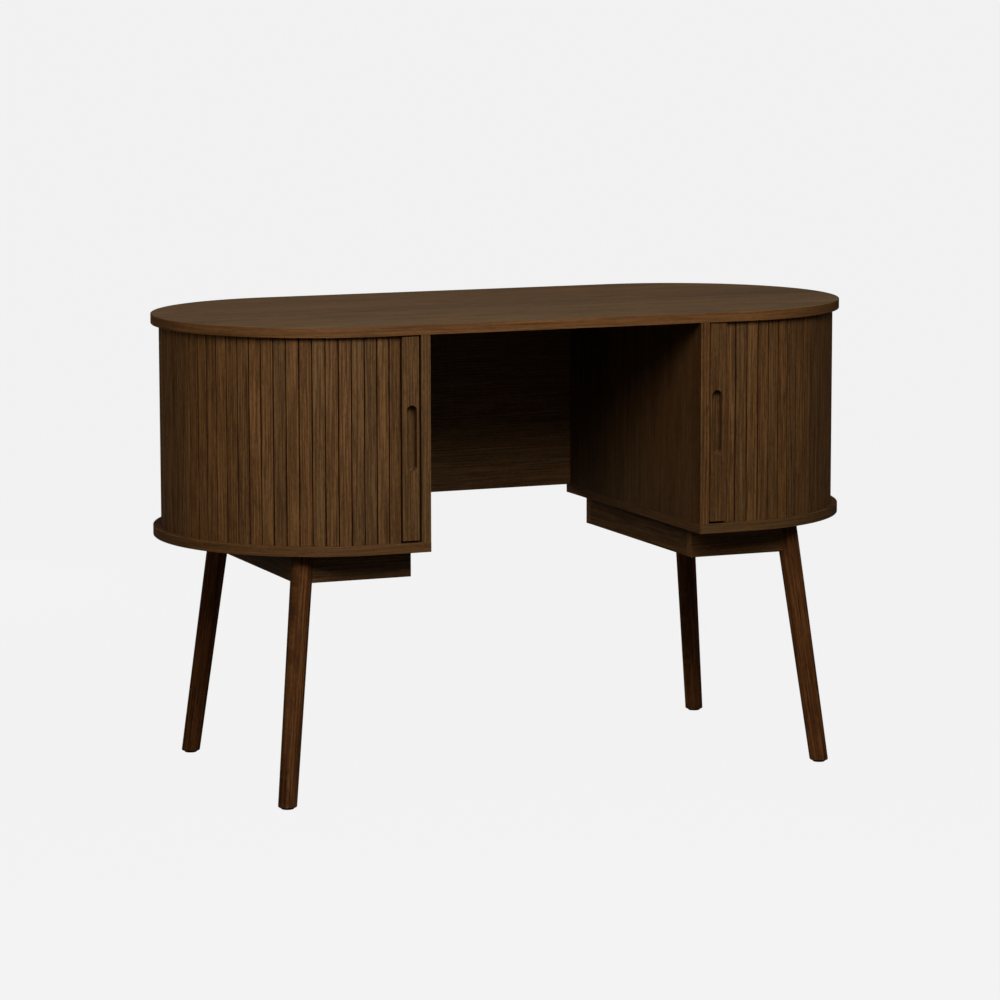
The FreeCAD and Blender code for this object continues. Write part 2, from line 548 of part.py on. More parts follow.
front_rail = ease_lower(front_rail).cut(leg_room)
inner_rail = ease_lower(inner_rail)
outer_rail = ease_lower(outer_rail).cut(leg_room).cut(flip_y(leg_room))
# keep the run of each rail that lies between the legs
front_rail = max(front_rail.Solids, key=lambda s: s.Volume)
outer_rail = max(outer_rail.Solids, key=lambda s: s.Volume)
rail_dowels = []
for z in (ZB - 12.0, ZB + 12.0):
    s, a, b = wood_dowel((-(PLINTH_IN + RAIL_T / 2), PLINTH_F + RAIL_T, z), (0, 1, 0), 10.0)
    rail_dowels += [s, flip_y(s)]
    front_rail = front_rail.cut(a)
    inner_rail = inner_rail.cut(b).cut(flip_y(b))
# two vertical dowels hold each long rail to the bottom panel
rail_top_dowels = []
vert = []
for x in (-300.0, -380.0):
    s, a, b = wood_dowel((x, PLINTH_F + RAIL_T / 2, Z_BOTTOM), (0, 0, 1), 18.0, 29.0)
    vert.append((s, a, b))
    front_rail = front_rail.cut(a)
front_rail = front_rail.cut(rail_bore_f)
outer_rail = outer_rail.cut(rail_bore_o).cut(flip_y(rail_bore_o))
wood_dowels += rail_dowels
for s, a, b in vert:
    wood_dowels += [s, flip_y(s)]
    bottom = bottom.cut(b).cut(flip_y(b))
save_pair("bottom_panel", bottom)
save_pair("plinth_front_rail", front_rail)
save_pair("plinth_back_rail", flip_y(front_rail))
save_pair("plinth_inner_rail", inner_rail)
save_pair("plinth_outer_rail", outer_rail)
save_pair("corner_blocks", [blk, blk_back])
save("corner_block_screws", four(blk_screw))
save("batten_screws", cleat_screws + [flip_x(s) for s in cleat_screws])
save("long_assembly_screws", long_screws + [flip_x(s) for s in long_screws])
save("cam_dowels", cam_dowels + [flip_x(s) for s in cam_dowels])
save("cam_locks", cam_locks + [flip_x(s) for s in cam_locks])
save("cam_cover_caps", cam_caps + [flip_x(s) for s in cam_caps])
save("wood_dowels", wood_dowels + [flip_x(s) for s in wood_dowels])

# ---------------------------------------------------------------- tambour doors
slats = []
for i in range(SLAT_N):
    a = SLAT_START + (i + 0.5) * SLAT_PITCH
    s = box(-SLAT_W / 2, SLAT_W / 2, -R_FACE, -R_BACKF, TONGUE_Z0, TONGUE_Z1)
    s = s.makeChamfer(SLAT_CHAMFER, [e for e in s.Edges if abs(e.BoundBox.YMax + R_FACE) < 1e-6
                                     and abs(e.BoundBox.ZMax - e.BoundBox.ZMin) > 10])
    s.rotate(Vector(0, 0, 0), Vector(0, 0, 1), -a)
    s.translate(Vector(-CX, CY, 0))
    slats.append(s)
save_pair("tambour_slats", slats)
slat_end = SLAT_START + SLAT_N * SLAT_PITCH
tail = sector(R_BACKF, R_FACE, slat_end + TAIL_GAP, slat_end + TAIL_GAP + TAIL_W, TONGUE_Z0, TONGUE_Z1)
tail = tail.makeChamfer(0.8, [e for e in tail.Edges if abs(e.BoundBox.ZMax - e.BoundBox.ZMin) > 10
                              and math.hypot(e.BoundBox.XMin + CX, e.BoundBox.YMin - CY) > R_FACE - 0.1])
save_pair("tail_batten", tail)
canvas = sector(R_BACKF - CANVAS_T - 0.04, R_BACKF - 0.04, -13.0, slat_end + TAIL_W - 0.3, Z_FLOOR + 1.5, Z_TOP - 1.5)
canvas_clear = []
stile_x1 = -(SIDE_OUT + STILE_GAP)
stile_x0 = stile_x1 - STILE_W
LIP = 269.5
STEP = 1.6                # the stile's lip over the first slat's edge
stile = prism([(stile_x0, STILE_Y), (stile_x1, STILE_Y), (stile_x1, -245.0), (stile_x0 + STEP, -245.0),
               (stile_x0 + STEP, -LIP), (stile_x0, -LIP)], STILE_Z0, STILE_Z1)
stile = stile.makeFillet(0.7, [e for e in stile.Edges if abs(e.BoundBox.YMax - STILE_Y) < 1e-6
                               and abs(e.BoundBox.ZMax - e.BoundBox.ZMin) > 10])
stile = stile.cut(Part.makeCylinder(R_BACKF + 0.02, 900.0, Vector(-CX, CY, 0), Vector(0, 0, 1)))
tongue = sector(R_BACKF + 0.02, R_FACE - 0.1, -15.5, -7.9, TONGUE_Z0, TONGUE_Z1)
tongue = tongue.common(box(stile_x0 + STEP, stile_x1 - 0.3, -DEPTH, 0, 0, 2 * HEIGHT))
stile = stile.fuse(tongue).removeSplitter()
# finger pull: a round-ended slot, routed from the front
xc = -PULL_X
rp = PULL_W / 2
pull = box(xc - rp, xc + rp, STILE_Y - 5, STILE_Y + PULL_D, PULL_Z - PULL_L / 2 + rp, PULL_Z + PULL_L / 2 - rp)
pull = pull.fuse([cyl((xc, STILE_Y - 5, PULL_Z - PULL_L / 2 + rp), (0, 1, 0), rp, PULL_D + 5),
                  cyl((xc, STILE_Y - 5, PULL_Z + PULL_L / 2 - rp), (0, 1, 0), rp, PULL_D + 5)]).removeSplitter()
floor_edges = [e for e in pull.Edges if abs(e.BoundBox.YMin - (STILE_Y + PULL_D)) < 1e-6
               and abs(e.BoundBox.YMax - (STILE_Y + PULL_D)) < 1e-6]
pull = pull.makeFillet(3.5, floor_edges)
stile = stile.cut(pull)
rim_edges = [e for e in stile.Edges if abs(e.BoundBox.YMin - STILE_Y) < 1e-5 and abs(e.BoundBox.YMax - STILE_Y) < 1e-5
             and e.BoundBox.ZMin > PULL_Z - PULL_L / 2 - 1 and e.BoundBox.ZMax < PULL_Z + PULL_L / 2 + 1]
stile = stile.makeFillet(0.8, rim_edges)
# clamp strip and its screws, from inside
STRIP_A = (-12.6, -8.4)
strip = sector(R_BACKF - CANVAS_T - 0.1 - STRIP_T, R_BACKF - CANVAS_T - 0.1, STRIP_A[0], STRIP_A[1],
               Z_FLOOR + 12.0, Z_TOP - 12.0)
am = 0.5 * (STRIP_A[0] + STRIP_A[1])
clamp_screws = []
for z in (452.0, 515.0, 665.0, 727.0):
    q = polar(R_BACKF - CANVAS_T - 0.1 - STRIP_T + 0.1, am, z)
    d = (polar(1.0, am) - polar(0.0, am)).normalize()
    sc = Part.makeCone(3.0, 1.5, 1.7, q, d).fuse(Part.makeCylinder(1.5, 15.0, q, d)).removeSplitter()
    clamp_screws.append(sc)
    strip = strip.cut(Part.makeCone(3.2, 1.55, 1.9, q - d * 0.11, d)).cut(Part.makeCylinder(1.5 + FIT, 30.0, q, d))
    hole = Part.makeCylinder(1.5 + FIT, 15.3, q, d)
    canvas = canvas.cut(hole)
    stile = stile.cut(hole)
save_pair("tambour_canvas", canvas)
save_pair("handle_stile", stile)
save_pair("canvas_clamp_strip", strip)
save_pair("clamp_screws", clamp_screws)

print(len(written), "nodes")
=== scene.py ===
import math

import bpy
from mathutils import Matrix, Vector

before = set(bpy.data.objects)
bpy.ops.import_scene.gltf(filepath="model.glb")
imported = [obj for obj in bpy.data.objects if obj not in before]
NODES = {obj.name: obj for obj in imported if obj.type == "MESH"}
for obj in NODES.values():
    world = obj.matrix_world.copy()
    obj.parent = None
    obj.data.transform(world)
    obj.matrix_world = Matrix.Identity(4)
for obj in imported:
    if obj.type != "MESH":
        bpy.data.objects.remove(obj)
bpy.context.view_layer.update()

# ---------------------------------------------------------------- the desk's own measures, in metres
CX = 0.320                # centre of a round end, |X|
R_END = 0.280             # outline radius of a round end
CY = -0.003               # Y of the tambour track's centre
R_FACE = 0.2675           # face of the tambour slats
SLAT_START = -7.645       # degrees from the front tangent
SLAT_PITCH = 4.475


# ---------------------------------------------------------------- small helpers for node trees
class V:
    """A value in a node tree. Arithmetic on it adds Math nodes."""

    def __init__(self, tree, socket):
        self.tree, self.socket = tree, socket

    def op(self, operation, *others, clamp=False):
        n = self.tree.nodes.new("ShaderNodeMath")
        n.operation = operation
        n.use_clamp = clamp
        for k, x in enumerate((self,) + others):
            feed(self.tree, x, n.inputs[k])
        return V(self.tree, n.outputs[0])

    def __add__(self, o): return self.op("ADD", o)
    def __radd__(self, o): return self.op("ADD", o)
    def __sub__(self, o): return self.op("SUBTRACT", o)
    def __rsub__(self, o): return self.op("MULTIPLY_ADD", -1.0, o)
    def __mul__(self, o): return self.op("MULTIPLY", o)
    def __rmul__(self, o): return self.op("MULTIPLY", o)
    def __truediv__(self, o): return self.op("DIVIDE", o)
    def __neg__(self): return self.op("MULTIPLY", -1.0)
    def abs(self): return self.op("ABSOLUTE")
    def sqrt(self): return self.op("SQRT")
    def fract(self): return self.op("FRACT")
    def floor(self): return self.op("FLOOR")
    def min(self, o): return self.op("MINIMUM", o)
    def max(self, o): return self.op("MAXIMUM", o)
    def gt(self, o): return self.op("GREATER_THAN", o)
    def sign(self): return self.op("SIGN")
    def sin(self): return self.op("SINE")
    def clamp(self): return self.op("ADD", 0.0, clamp=True)

    def smooth(self, lo, hi, out_lo=0.0, out_hi=1.0):
        """Smooth step from lo to hi."""
        n = self.tree.nodes.new("ShaderNodeMapRange")
        n.interpolation_type = "SMOOTHSTEP"
        feed(self.tree, self, n.inputs["Value"])
        n.inputs["From Min"].default_value = lo
        n.inputs["From Max"].default_value = hi
        n.inputs["To Min"].default_value = out_lo
        n.inputs["To Max"].default_value = out_hi
        return V(self.tree, n.outputs[0])

    def curve(self, stops):
        """A ramp of grey levels: (position, value) pairs."""
        n = self.tree.nodes.new("ShaderNodeValToRGB")
        e = n.color_ramp.elements
        while len(e) < len(stops):
            e.new(0.5)
        for k, (p, g) in enumerate(stops):
            e[k].position = p
            e[k].color = (g, g, g, 1)
        feed(self.tree, self, n.inputs[0])
        return V(self.tree, n.outputs[0])


def const(tree, x):
    n = tree.nodes.new("ShaderNodeValue")
    n.outputs[0].default_value = x
    return V(tree, n.outputs[0])


def feed(tree, x, socket):
    if isinstance(x, V):
        tree.links.new(x.socket, socket)
    else:
        socket.default_value = x


def vector(tree, x, y, z):
    n = tree.nodes.new("ShaderNodeCombineXYZ")
    for k, a in enumerate((x, y, z)):
        feed(tree, a, n.inputs[k])
    return V(tree, n.outputs[0])


def noise(tree, x, y, z, detail=2.0, rough=0.5, distortion=0.0):
    """Fractal noise about zero, roughly -0.5 to 0.5."""
    n = tree.nodes.new("ShaderNodeTexNoise")
    n.noise_dimensions = "3D"
    feed(tree, vector(tree, x, y, z), n.inputs["Vector"])
    n.inputs["Scale"].default_value = 1.0
    n.inputs["Detail"].default_value = detail
    n.inputs["Roughness"].default_value = rough
    n.inputs["Distortion"].default_value = distortion
    return V(tree, n.outputs[0]) - 0.5


def rand(tree, x):
    """A number from 0 to 1 for each value of x."""
    n = tree.nodes.new("ShaderNodeTexWhiteNoise")
    n.noise_dimensions = "1D"
    feed(tree, x, n.inputs["W"])
    return V(tree, n.outputs["Value"])


def mix(tree, fac, a, b, kind="MIX"):
    n = tree.nodes.new("ShaderNodeMix")
    n.data_type = "RGBA"
    n.blend_type = kind
    n.clamp_factor = True
    feed(tree, fac, n.inputs[0])
    for x, s in ((a, n.inputs[6]), (b, n.inputs[7])):
        feed(tree, x if isinstance(x, V) else (*x, 1.0), s)
    return V(tree, n.outputs[2])


def grey(tree, x):
    return vector(tree, x, x, x)


def ramp(tree, fac, stops):
    n = tree.nodes.new("ShaderNodeValToRGB")
    e = n.color_ramp.elements
    while len(e) < len(stops):
        e.new(0.5)
    for k, (p, c) in enumerate(stops):
        e[k].position = p
        e[k].color = (*c, 1)
    feed(tree, fac, n.inputs[0])
    return V(tree, n.outputs[0])


def place(tree):
    """X, Y and Z of the point on the piece itself, in metres, the same in every pose."""
    c = tree.nodes.new("ShaderNodeTexCoord")
    s = tree.nodes.new("ShaderNodeSeparateXYZ")
    tree.links.new(c.outputs["Object"], s.inputs[0])
    return [V(tree, o) for o in s.outputs]


def new_material(name):
    m = bpy.data.materials.new(name)
    m.use_nodes = True
    t = m.node_tree
    t.nodes.clear()
    out = t.nodes.new("ShaderNodeOutputMaterial")
    b = t.nodes.new("ShaderNodeBsdfPrincipled")
    t.links.new(b.outputs[0], out.inputs[0])
    return m, t, b


def bump(tree, bsdf, height, distance, strength=1.0):
    n = tree.nodes.new("ShaderNodeBump")
    n.inputs["Strength"].default_value = strength
    n.inputs["Distance"].default_value = distance
    feed(tree, height, n.inputs["Height"])
    tree.links.new(n.outputs[0], bsdf.inputs["Normal"])


# ---------------------------------------------------------------- wood
# Stained oak veneer and solid oak under a satin lacquer. Each board is cut from a log of its own:
# the growth rings are cylinders about a pith line that lies beside and behind the face, and runs at
# a small angle to it, so a board shows straight grain or nested arches as a real one does.
# Every length in here is in metres on the piece.

DARK = (0.022, 0.0088, 0.0024)
MID = (0.072, 0.0316, 0.0090)
LIGHT = (0.142, 0.0665, 0.0215)
# dark joint colour, also laid on as painted shade on the stile's sides and pull
SEAM_AND_SHADE = (0.026, 0.0048, 0.0007)


def wood(name, coords, light=LIGHT, mid=MID, dark=DARK, ring=0.0042, figure=1.0, streak=1.0, spread=0.06,
         depth=(0.012, 0.050), slope=0.035, board_tone=0.20, roughness=0.55, spec=0.12, coat=0.0, gain=1.0,
         crisp=1.0, bands=0.5, wide=1.0, wander=1.0, fleck=1.0, patch=1.0, seam_and_shade=None, painted_light_tint=None):
    """coords(tree) gives u along the grain, v across it, and a number that is different for each board.
    seam(tree) is 1 where stain and dust have gathered in a joint, and where shade is painted on, as on the stile's
    sides and in its pull; 0 elsewhere.
    tint(tree) paints light and shade: it makes some faces of the piece lighter or darker than the rest, as the light
    falls on them."""
    m, t, b = new_material(name)
    u, v, board = coords(t)
    s1, s2, s3, s4, s5, s6 = [rand(t, board + k) for k in (0.13, 7.31, 19.7, 31.9, 53.3, 71.1)]
    zz = board * 0.731
    # slow wander of the grain
    w1 = noise(t, u * 1.7, v * 7.0, zz + 11.0, detail=2.0)
    w2 = noise(t, u * 6.0, v * 34.0, zz + 23.0, detail=2.0)
    v1 = v - (s1 - 0.5) * (2.0 * spread) + w1 * (0.020 * wander) + w2 * (0.0022 * wander)
    tilt = s3 * 2.0 - 1.0
    d = s2 * (depth[1] - depth[0]) + depth[0] + u * (tilt * tilt * tilt * slope) + w1 * (0.016 * wander)
    r = (v1 * v1 + d * d).sqrt()
    ph = r / ring + noise(t, u * 9.0, v * 60.0, zz + 5.0, detail=1.0) * 0.30
    f = ph.fract()
    each = rand(t, ph.floor() + board * 3.3)
    rings = f.curve([(0.0, 1.0), (0.10, 0.62), (0.26, 0.16), (0.58, 0.06), (0.84, 0.42), (1.0, 1.0)])
    rings = rings * (each * 0.75 + 0.45) * (s6 * s6 * 1.2 + 0.6)
    # streaks and fibres that follow the grain
    lean = v + u * ((s2 - 0.5) * 0.016) + w1 * (0.004 * wander) + w2 * (0.0010 * wander)
    st = noise(t, u * 1.6, lean * 125.0, zz + 41.0, detail=1.0, rough=0.5)
    fi = noise(t, u * 7.0, lean * 420.0, zz + 61.0, detail=1.0, rough=0.6)
    # short flecks of ray and vessel, and soft patches along the length
    fl = noise(t, u * 120.0, lean * 430.0, zz + 131.0, detail=1.0, rough=0.6)
    pa = noise(t, u * 16.0, v * 80.0, zz + 151.0, detail=2.0, rough=0.6)
    # open pores: short dark dashes, most of them in the early wood
    po = noise(t, u * 95.0, v * 1500.0, zz + 83.0, detail=1.0)
    pores = po.smooth(0.09, 0.20) * (rings * 0.8 + 0.2)
    ve = noise(t, u * 26.0, lean * 400.0, zz + 77.0, detail=1.0, rough=0.6)
    vessels = ve.smooth(0.0, 0.13) * (rings * 0.4 + 0.6)
    broad = noise(t, u * 0.9, v * 4.0, zz + 97.0, detail=1.0) + noise(t, u * 0.55, v * 17.0, zz + 7.0, detail=2.0) * bands
    tone = rings * (0.24 * figure) + vessels * (0.28 * crisp) + st * (0.40 * streak) + fi * (1.55 * crisp) + pores * 0.20 + broad * (0.22 * wide)
    tone = tone + fl * (0.50 * fleck) + pa * (0.24 * patch) + 0.23
    col = ramp(t, tone.clamp(), [(0.0, light), (0.42, mid), (1.0, dark)])
    # dark joints, and painted shade on the stile, are mixed in here
    if seam_and_shade:
        col = mix(t, seam_and_shade(t), col, SEAM_AND_SHADE)
    # each board's own shade, a little redder or yellower
    shade = (s4 - 0.5) * (2.0 * board_tone) + gain
    # painted light and shade from the tint is multiplied into the board's shade here
    if painted_light_tint:
        shade = shade * painted_light_tint(t)
    warm = (s5 - 0.5) * 0.12
    n = t.nodes.new("ShaderNodeVectorMath")
    n.operation = "MULTIPLY"
    t.links.new(col.socket, n.inputs[0])
    t.links.new(vector(t, shade * (warm + 1.0), shade, shade * (1.0 - warm)).socket, n.inputs[1])
    t.links.new(n.outputs[0], b.inputs["Base Color"])
    # lacquer: satin, a little drier over the pores
    ro = rings * 0.05 + pores * 0.16 + noise(t, u * 22.0, v * 30.0, zz, detail=2.0) * 0.10 + roughness
    feed(t, ro.clamp(), b.inputs["Roughness"])
    b.inputs["Specular IOR Level"].default_value = spec
    b.inputs["Coat Weight"].default_value = coat
    b.inputs["Coat Roughness"].default_value = 0.28
    h = fi * 0.25 - pores * 1.0 - rings * 0.22
    bump(t, b, h, 0.00016, 0.55)
    return m


def side_of(t, x):
    """-1 on the left of the desk, 1 on the right."""
    return x.sign()


def flat_boards(along, across, leaf, leaf_shift=0.0, salt=0.0, pair=True):
    """Boards that lie along an axis. leaf is the width of the veneer leaves across a wide board. pair is for
    boards that come as a left and a right one."""

    def coords(t):
        xyz = dict(zip("xyz", place(t)))
        u = xyz[along]
        others = [c for c in "xyz" if c != along]
        v = xyz[across]
        thin = [c for c in others if c != across][0]
        v = v + xyz[thin] * 0.93
        board = ((v + leaf_shift) / leaf).floor() * 2.39 + salt
        if pair:
            board = board + side_of(t, xyz["x"]) * 1.7
        return u, v, board

    return coords


def end_angle(t, x, y):
    """Angle round the nearer door track in radians, 0 at the front and positive outwards."""
    return (x.abs() - CX).op("ARCTAN2", -(y - CY))


def slat_coords(t):
    x, y, z = place(t)
    a = end_angle(t, x, y)
    k = (a * (180.0 / math.pi) - SLAT_START) / SLAT_PITCH
    i = k.floor()
    v = (k - i - 0.5) * math.radians(SLAT_PITCH) * R_FACE
    board = i * 2.17 + side_of(t, x) * 40.3 + 3.0
    return z, v, board


def slat_seam(t):
    """Dark in the joints between the slats, where stain has pooled and the raw canvas edge shows."""
    x, y, z = place(t)
    k = (end_angle(t, x, y) * (180.0 / math.pi) - SLAT_START) / SLAT_PITCH
    across = (k.fract() - 0.5).abs() * (math.radians(SLAT_PITCH) * R_FACE)
    each = rand(t, (k + 0.5).floor() * 1.37 + side_of(t, x) * 9.1)
    return across.smooth(0.0091, 0.0099) * (each * 0.26 + 0.71) * k.smooth(12.0, 21.0, 1.0, 0.6)


def stile_painted_shade(t):
    """Painted shade: dark on the stile's sides behind its face, and a little on the steep sides of its pull."""
    x, y, z = place(t)
    behind = (y + 0.277).smooth(0.0008, 0.0030)
    from_middle = (x.abs() - 0.2692).abs()
    at_pull = from_middle.op("LESS_THAN", 0.0095) * (z - 0.5885).abs().op("LESS_THAN", 0.0550)
    return behind * (1.0 - at_pull) * 0.85 + behind * at_pull * (from_middle.smooth(0.0075, 0.0087) * 0.22 + 0.08)


def panel_painted_light(t):
    """Partly painted light: the panel's front edge is banded in a lighter leaf and made lighter still than its faces,
    which get less of the light; beside it a strip of the face is a little darker.
    """
    x, y, z = place(t)
    front = y.smooth(-0.2796, -0.2790, 1.0, 0.0)
    return front * 0.56 + y.smooth(-0.2790, -0.2450, 0.84, 1.0)


def band_end_painted_shade(t):
    """Painted shade: the band is made a shade darker round the ends, where less of the light falls on it."""
    x, y, z = place(t)
    return x.abs().smooth(0.40, 0.56, 1.0, 0.88)


def rail_end_painted_light(t):
    """Painted light: the end grain of the long plinth rails, seen beside the knee hole, is made lighter where light
    falls on it.
    """
    x, y, z = place(t)
    long_ = ((y + 0.005).abs() - 0.1985).gt(0.0)
    return x.abs().smooth(0.2502, 0.2510, 0.55, 0.0) * long_ + 1.0


def stile_coords(t):
    x, y, z = place(t)
    return z, x.abs() + y * 0.9, side_of(t, x) * 5.3 + 71.0


def shell_coords(t):
    x, y, z = place(t)
    a = end_angle(t, x, y)
    v = a * 0.252
    board = (v / 0.13).floor() * 2.39 + side_of(t, x) * 3.1 + 120.0
    return z, v, board


def top_band_coords(t):
    """Along the edge band: straight runs, then round the ends."""
    x, y, z = place(t)
    beyond = (x.abs() - CX).max(0.0)
    round_ = beyond.op("ARCTAN2", y.abs()) * R_END
    u = (x.abs().min(CX) + round_) * side_of(t, x)
    return u, z, y.sign() * 2.7 + 210.0


def bottom_band_coords(t):
    x, y, z = place(t)
    beyond = (x.abs() - CX).max(0.0)
    round_ = beyond.op("ARCTAN2", y.abs()) * R_END
    u = (x.abs().min(CX) + round_) * side_of(t, x)
    knee = (x.abs() - 0.2395).op("LESS_THAN", 0.0)
    u = u * (1.0 - knee) + y * knee
    return u, z, y.sign() * 2.7 + side_of(t, x) * 6.1 + knee * 9.0 + 310.0


def leg_coords(t):
    """Turned from square stock: the point measured from the leg's own slanted axis."""
    x, y, z = place(t)
    k = 1.0 - z / 0.405
    a = x.abs() - (k * 0.0455 + 0.4305)
    c = (y + 0.005).abs() - (k * 0.0435 + 0.2025)
    board = side_of(t, x) * 3.7 + (y + 0.005).sign() * 8.9 + 400.0
    # across the grain: plain distance in a direction that differs from leg to leg
    return z, a * 0.83 + c * 0.55, board


def rail_coords(t):
    """Plinth rails: the long ones run along X, the short ones along Y."""
    x, y, z = place(t)
    long_ = ((y + 0.005).abs() - 0.1985).gt(0.0)
    u = x * long_ + y * (1.0 - long_)
    v = z + (y * long_ + x * (1.0 - long_)) * 0.9
    outer = (x.abs() - 0.35).gt(0.0) * (1.0 - long_)
    board = side_of(t, x) * 2.9 + (y + 0.005).sign() * long_ * 5.7 + outer * 13.1 + long_ * 4.4 + 500.0
    return u, v, board


M = {}
M["top_veneer"] = wood("top_veneer", flat_boards("x", "y", leaf=0.145, leaf_shift=0.05, salt=20.0, pair=False),
                       light=(0.139, 0.0700, 0.0195), mid=(0.0705, 0.0337, 0.0083), dark=(0.021, 0.0092, 0.0022), ring=0.0055, figure=1.0,
                       streak=1.0, spread=0.05, depth=(0.020, 0.060), slope=0.030, board_tone=0.04, roughness=0.50,
                       spec=0.56, coat=0.0, gain=1.26, bands=1.8, crisp=0.7)
M["edge_veneer"] = wood("edge_veneer", top_band_coords, light=(0.150, 0.0665, 0.0210), mid=(0.077, 0.0318, 0.0088), figure=0.06, ring=0.0035, streak=0.25, board_tone=0.0, gain=1.07, bands=0.0, wide=0.15, patch=0.3, crisp=0.5, fleck=0.6, painted_light_tint=band_end_painted_shade)
M["bottom_edge_veneer"] = wood("bottom_edge_veneer", bottom_band_coords, figure=0.06, ring=0.0035, streak=0.25, board_tone=0.0, gain=0.85, bands=0.0, wide=0.15, patch=0.3, crisp=0.5, fleck=0.6)
M["bottom_veneer"] = wood("bottom_veneer", flat_boards("x", "y", leaf=0.15, salt=33.0), board_tone=0.06, gain=0.72)
M["side_veneer"] = wood("side_veneer", flat_boards("z", "y", leaf=0.16, leaf_shift=0.02, salt=47.0), ring=0.005, figure=1.0,
                        spread=0.06, slope=0.05, board_tone=0.05, gain=0.73, crisp=0.65, streak=0.6, wide=1.5, painted_light_tint=panel_painted_light)
M["modesty_veneer"] = wood("modesty_veneer", flat_boards("x", "z", leaf=0.17, leaf_shift=0.06, salt=59.0, pair=False), ring=0.0052, figure=0.8,
                           spread=0.05, slope=0.06, board_tone=0.03, streak=0.5, crisp=0.6, gain=0.90)
M["shelf_veneer"] = wood("shelf_veneer", flat_boards("x", "y", leaf=0.15, salt=67.0), board_tone=0.05)
M["tambour"] = wood("tambour", slat_coords, ring=0.0040, figure=0.38, streak=0.10, spread=0.055, depth=(0.012, 0.050), slope=0.07,
                    board_tone=0.15, gain=1.00, crisp=0.95, wide=0.35, wander=0.8, patch=0.4, seam_and_shade=slat_seam)
M["stile"] = wood("stile", stile_coords, ring=0.0042, figure=0.5, streak=0.3, spread=0.02, depth=(0.012, 0.03), slope=0.05,
                  board_tone=0.06, gain=0.92, crisp=0.85, seam_and_shade=stile_painted_shade)
M["tail"] = wood("tail", stile_coords, ring=0.0042, figure=0.7, streak=0.5, spread=0.02, depth=(0.012, 0.03), slope=0.05,
                 board_tone=0.06)
M["shell"] = wood("shell", shell_coords, ring=0.005, board_tone=0.08)
M["plinth"] = wood("plinth", rail_coords, ring=0.004, board_tone=0.06, gain=0.92, figure=0.8, streak=0.5, crisp=0.75,
                   painted_light_tint=rail_end_painted_light)
M["leg"] = wood("leg", leg_coords, light=(0.128, 0.0480, 0.0135), mid=(0.066, 0.0225, 0.0060), dark=(0.020, 0.0062, 0.0016),
                ring=0.0034, figure=0.8, spread=0.03, depth=(0.02, 0.04), slope=0.02, board_tone=0.04, roughness=0.62, spec=0.05,
                gain=0.99)
BEECH_L, BEECH_M, BEECH_D = (0.52, 0.34, 0.19), (0.42, 0.26, 0.14), (0.27, 0.15, 0.075)


def any_wood(along):
    def coords(t):
        xyz = dict(zip("xyz", place(t)))
        u = xyz[along]
        a, c = [xyz[k] for k in "xyz" if k != along]
        return u, a + c * 0.87, side_of(t, xyz["x"]) * 1.9 + xyz["y"].sign() * 4.1 + 600.0
    return coords


M["inner_wood"] = wood("inner_wood", any_wood("z"), light=BEECH_L, mid=BEECH_M, dark=BEECH_D, ring=0.003, figure=0.5, streak=0.6,
                       board_tone=0.05, roughness=0.58, spec=0.25, coat=0.0)


# ---------------------------------------------------------------- other materials
def canvas():
    m, t, b = new_material("tambour_canvas")
    x, y, z = place(t)
    a = end_angle(t, x, y) * 0.2592
    warp = (a * (2 * math.pi / 0.0011)).sin()
    weft = (z * (2 * math.pi / 0.0012)).sin()
    over = (warp * weft) * 0.5 + 0.5
    slub = noise(t, a * 260.0, z * 14.0, 3.0, detail=2.0) + noise(t, a * 14.0, z * 260.0, 9.0, detail=2.0)
    dirt = noise(t, a * 9.0, z * 7.0, 1.0, detail=3.0)
    k = over * 0.35 + slub * 0.6 + dirt * 0.5 + 0.35
    col = ramp(t, k.clamp(), [(0.0, (0.010, 0.0055, 0.0028)), (0.55, (0.024, 0.013, 0.0070)), (1.0, (0.052, 0.032, 0.019))])
    t.links.new(col.socket, b.inputs["Base Color"])
    feed(t, (slub * 0.10 + 0.90).clamp(), b.inputs["Roughness"])
    b.inputs["Sheen Weight"].default_value = 0.1
    b.inputs["Specular IOR Level"].default_value = 0.2
    bump(t, b, over * 0.8 + slub * 0.6, 0.00025, 0.7)
    return m


def zinc():
    m, t, b = new_material("zinc_steel")
    x, y, z = place(t)
    cloud = noise(t, x * 70.0, y * 70.0, z * 70.0, detail=3.0, rough=0.6)
    fine = noise(t, x * 900.0, y * 900.0, z * 240.0, detail=2.0)
    spot = noise(t, x * 260.0, y * 260.0, z * 260.0, detail=1.0).smooth(0.16, 0.26)
    col = ramp(t, (cloud * 1.2 + fine * 0.3 + 0.5).clamp(), [(0.0, (0.42, 0.41, 0.38)), (0.5, (0.60, 0.59, 0.56)), (1.0, (0.72, 0.71, 0.68))])
    col = mix(t, spot * 0.35, col, (0.30, 0.26, 0.20))
    t.links.new(col.socket, b.inputs["Base Color"])
    b.inputs["Metallic"].default_value = 1.0
    feed(t, (cloud * 0.25 + fine * 0.10 + spot * 0.2 + 0.36).clamp(), b.inputs["Roughness"])
    bump(t, b, fine * 0.6 + cloud * 0.4, 0.00006, 0.5)
    return m


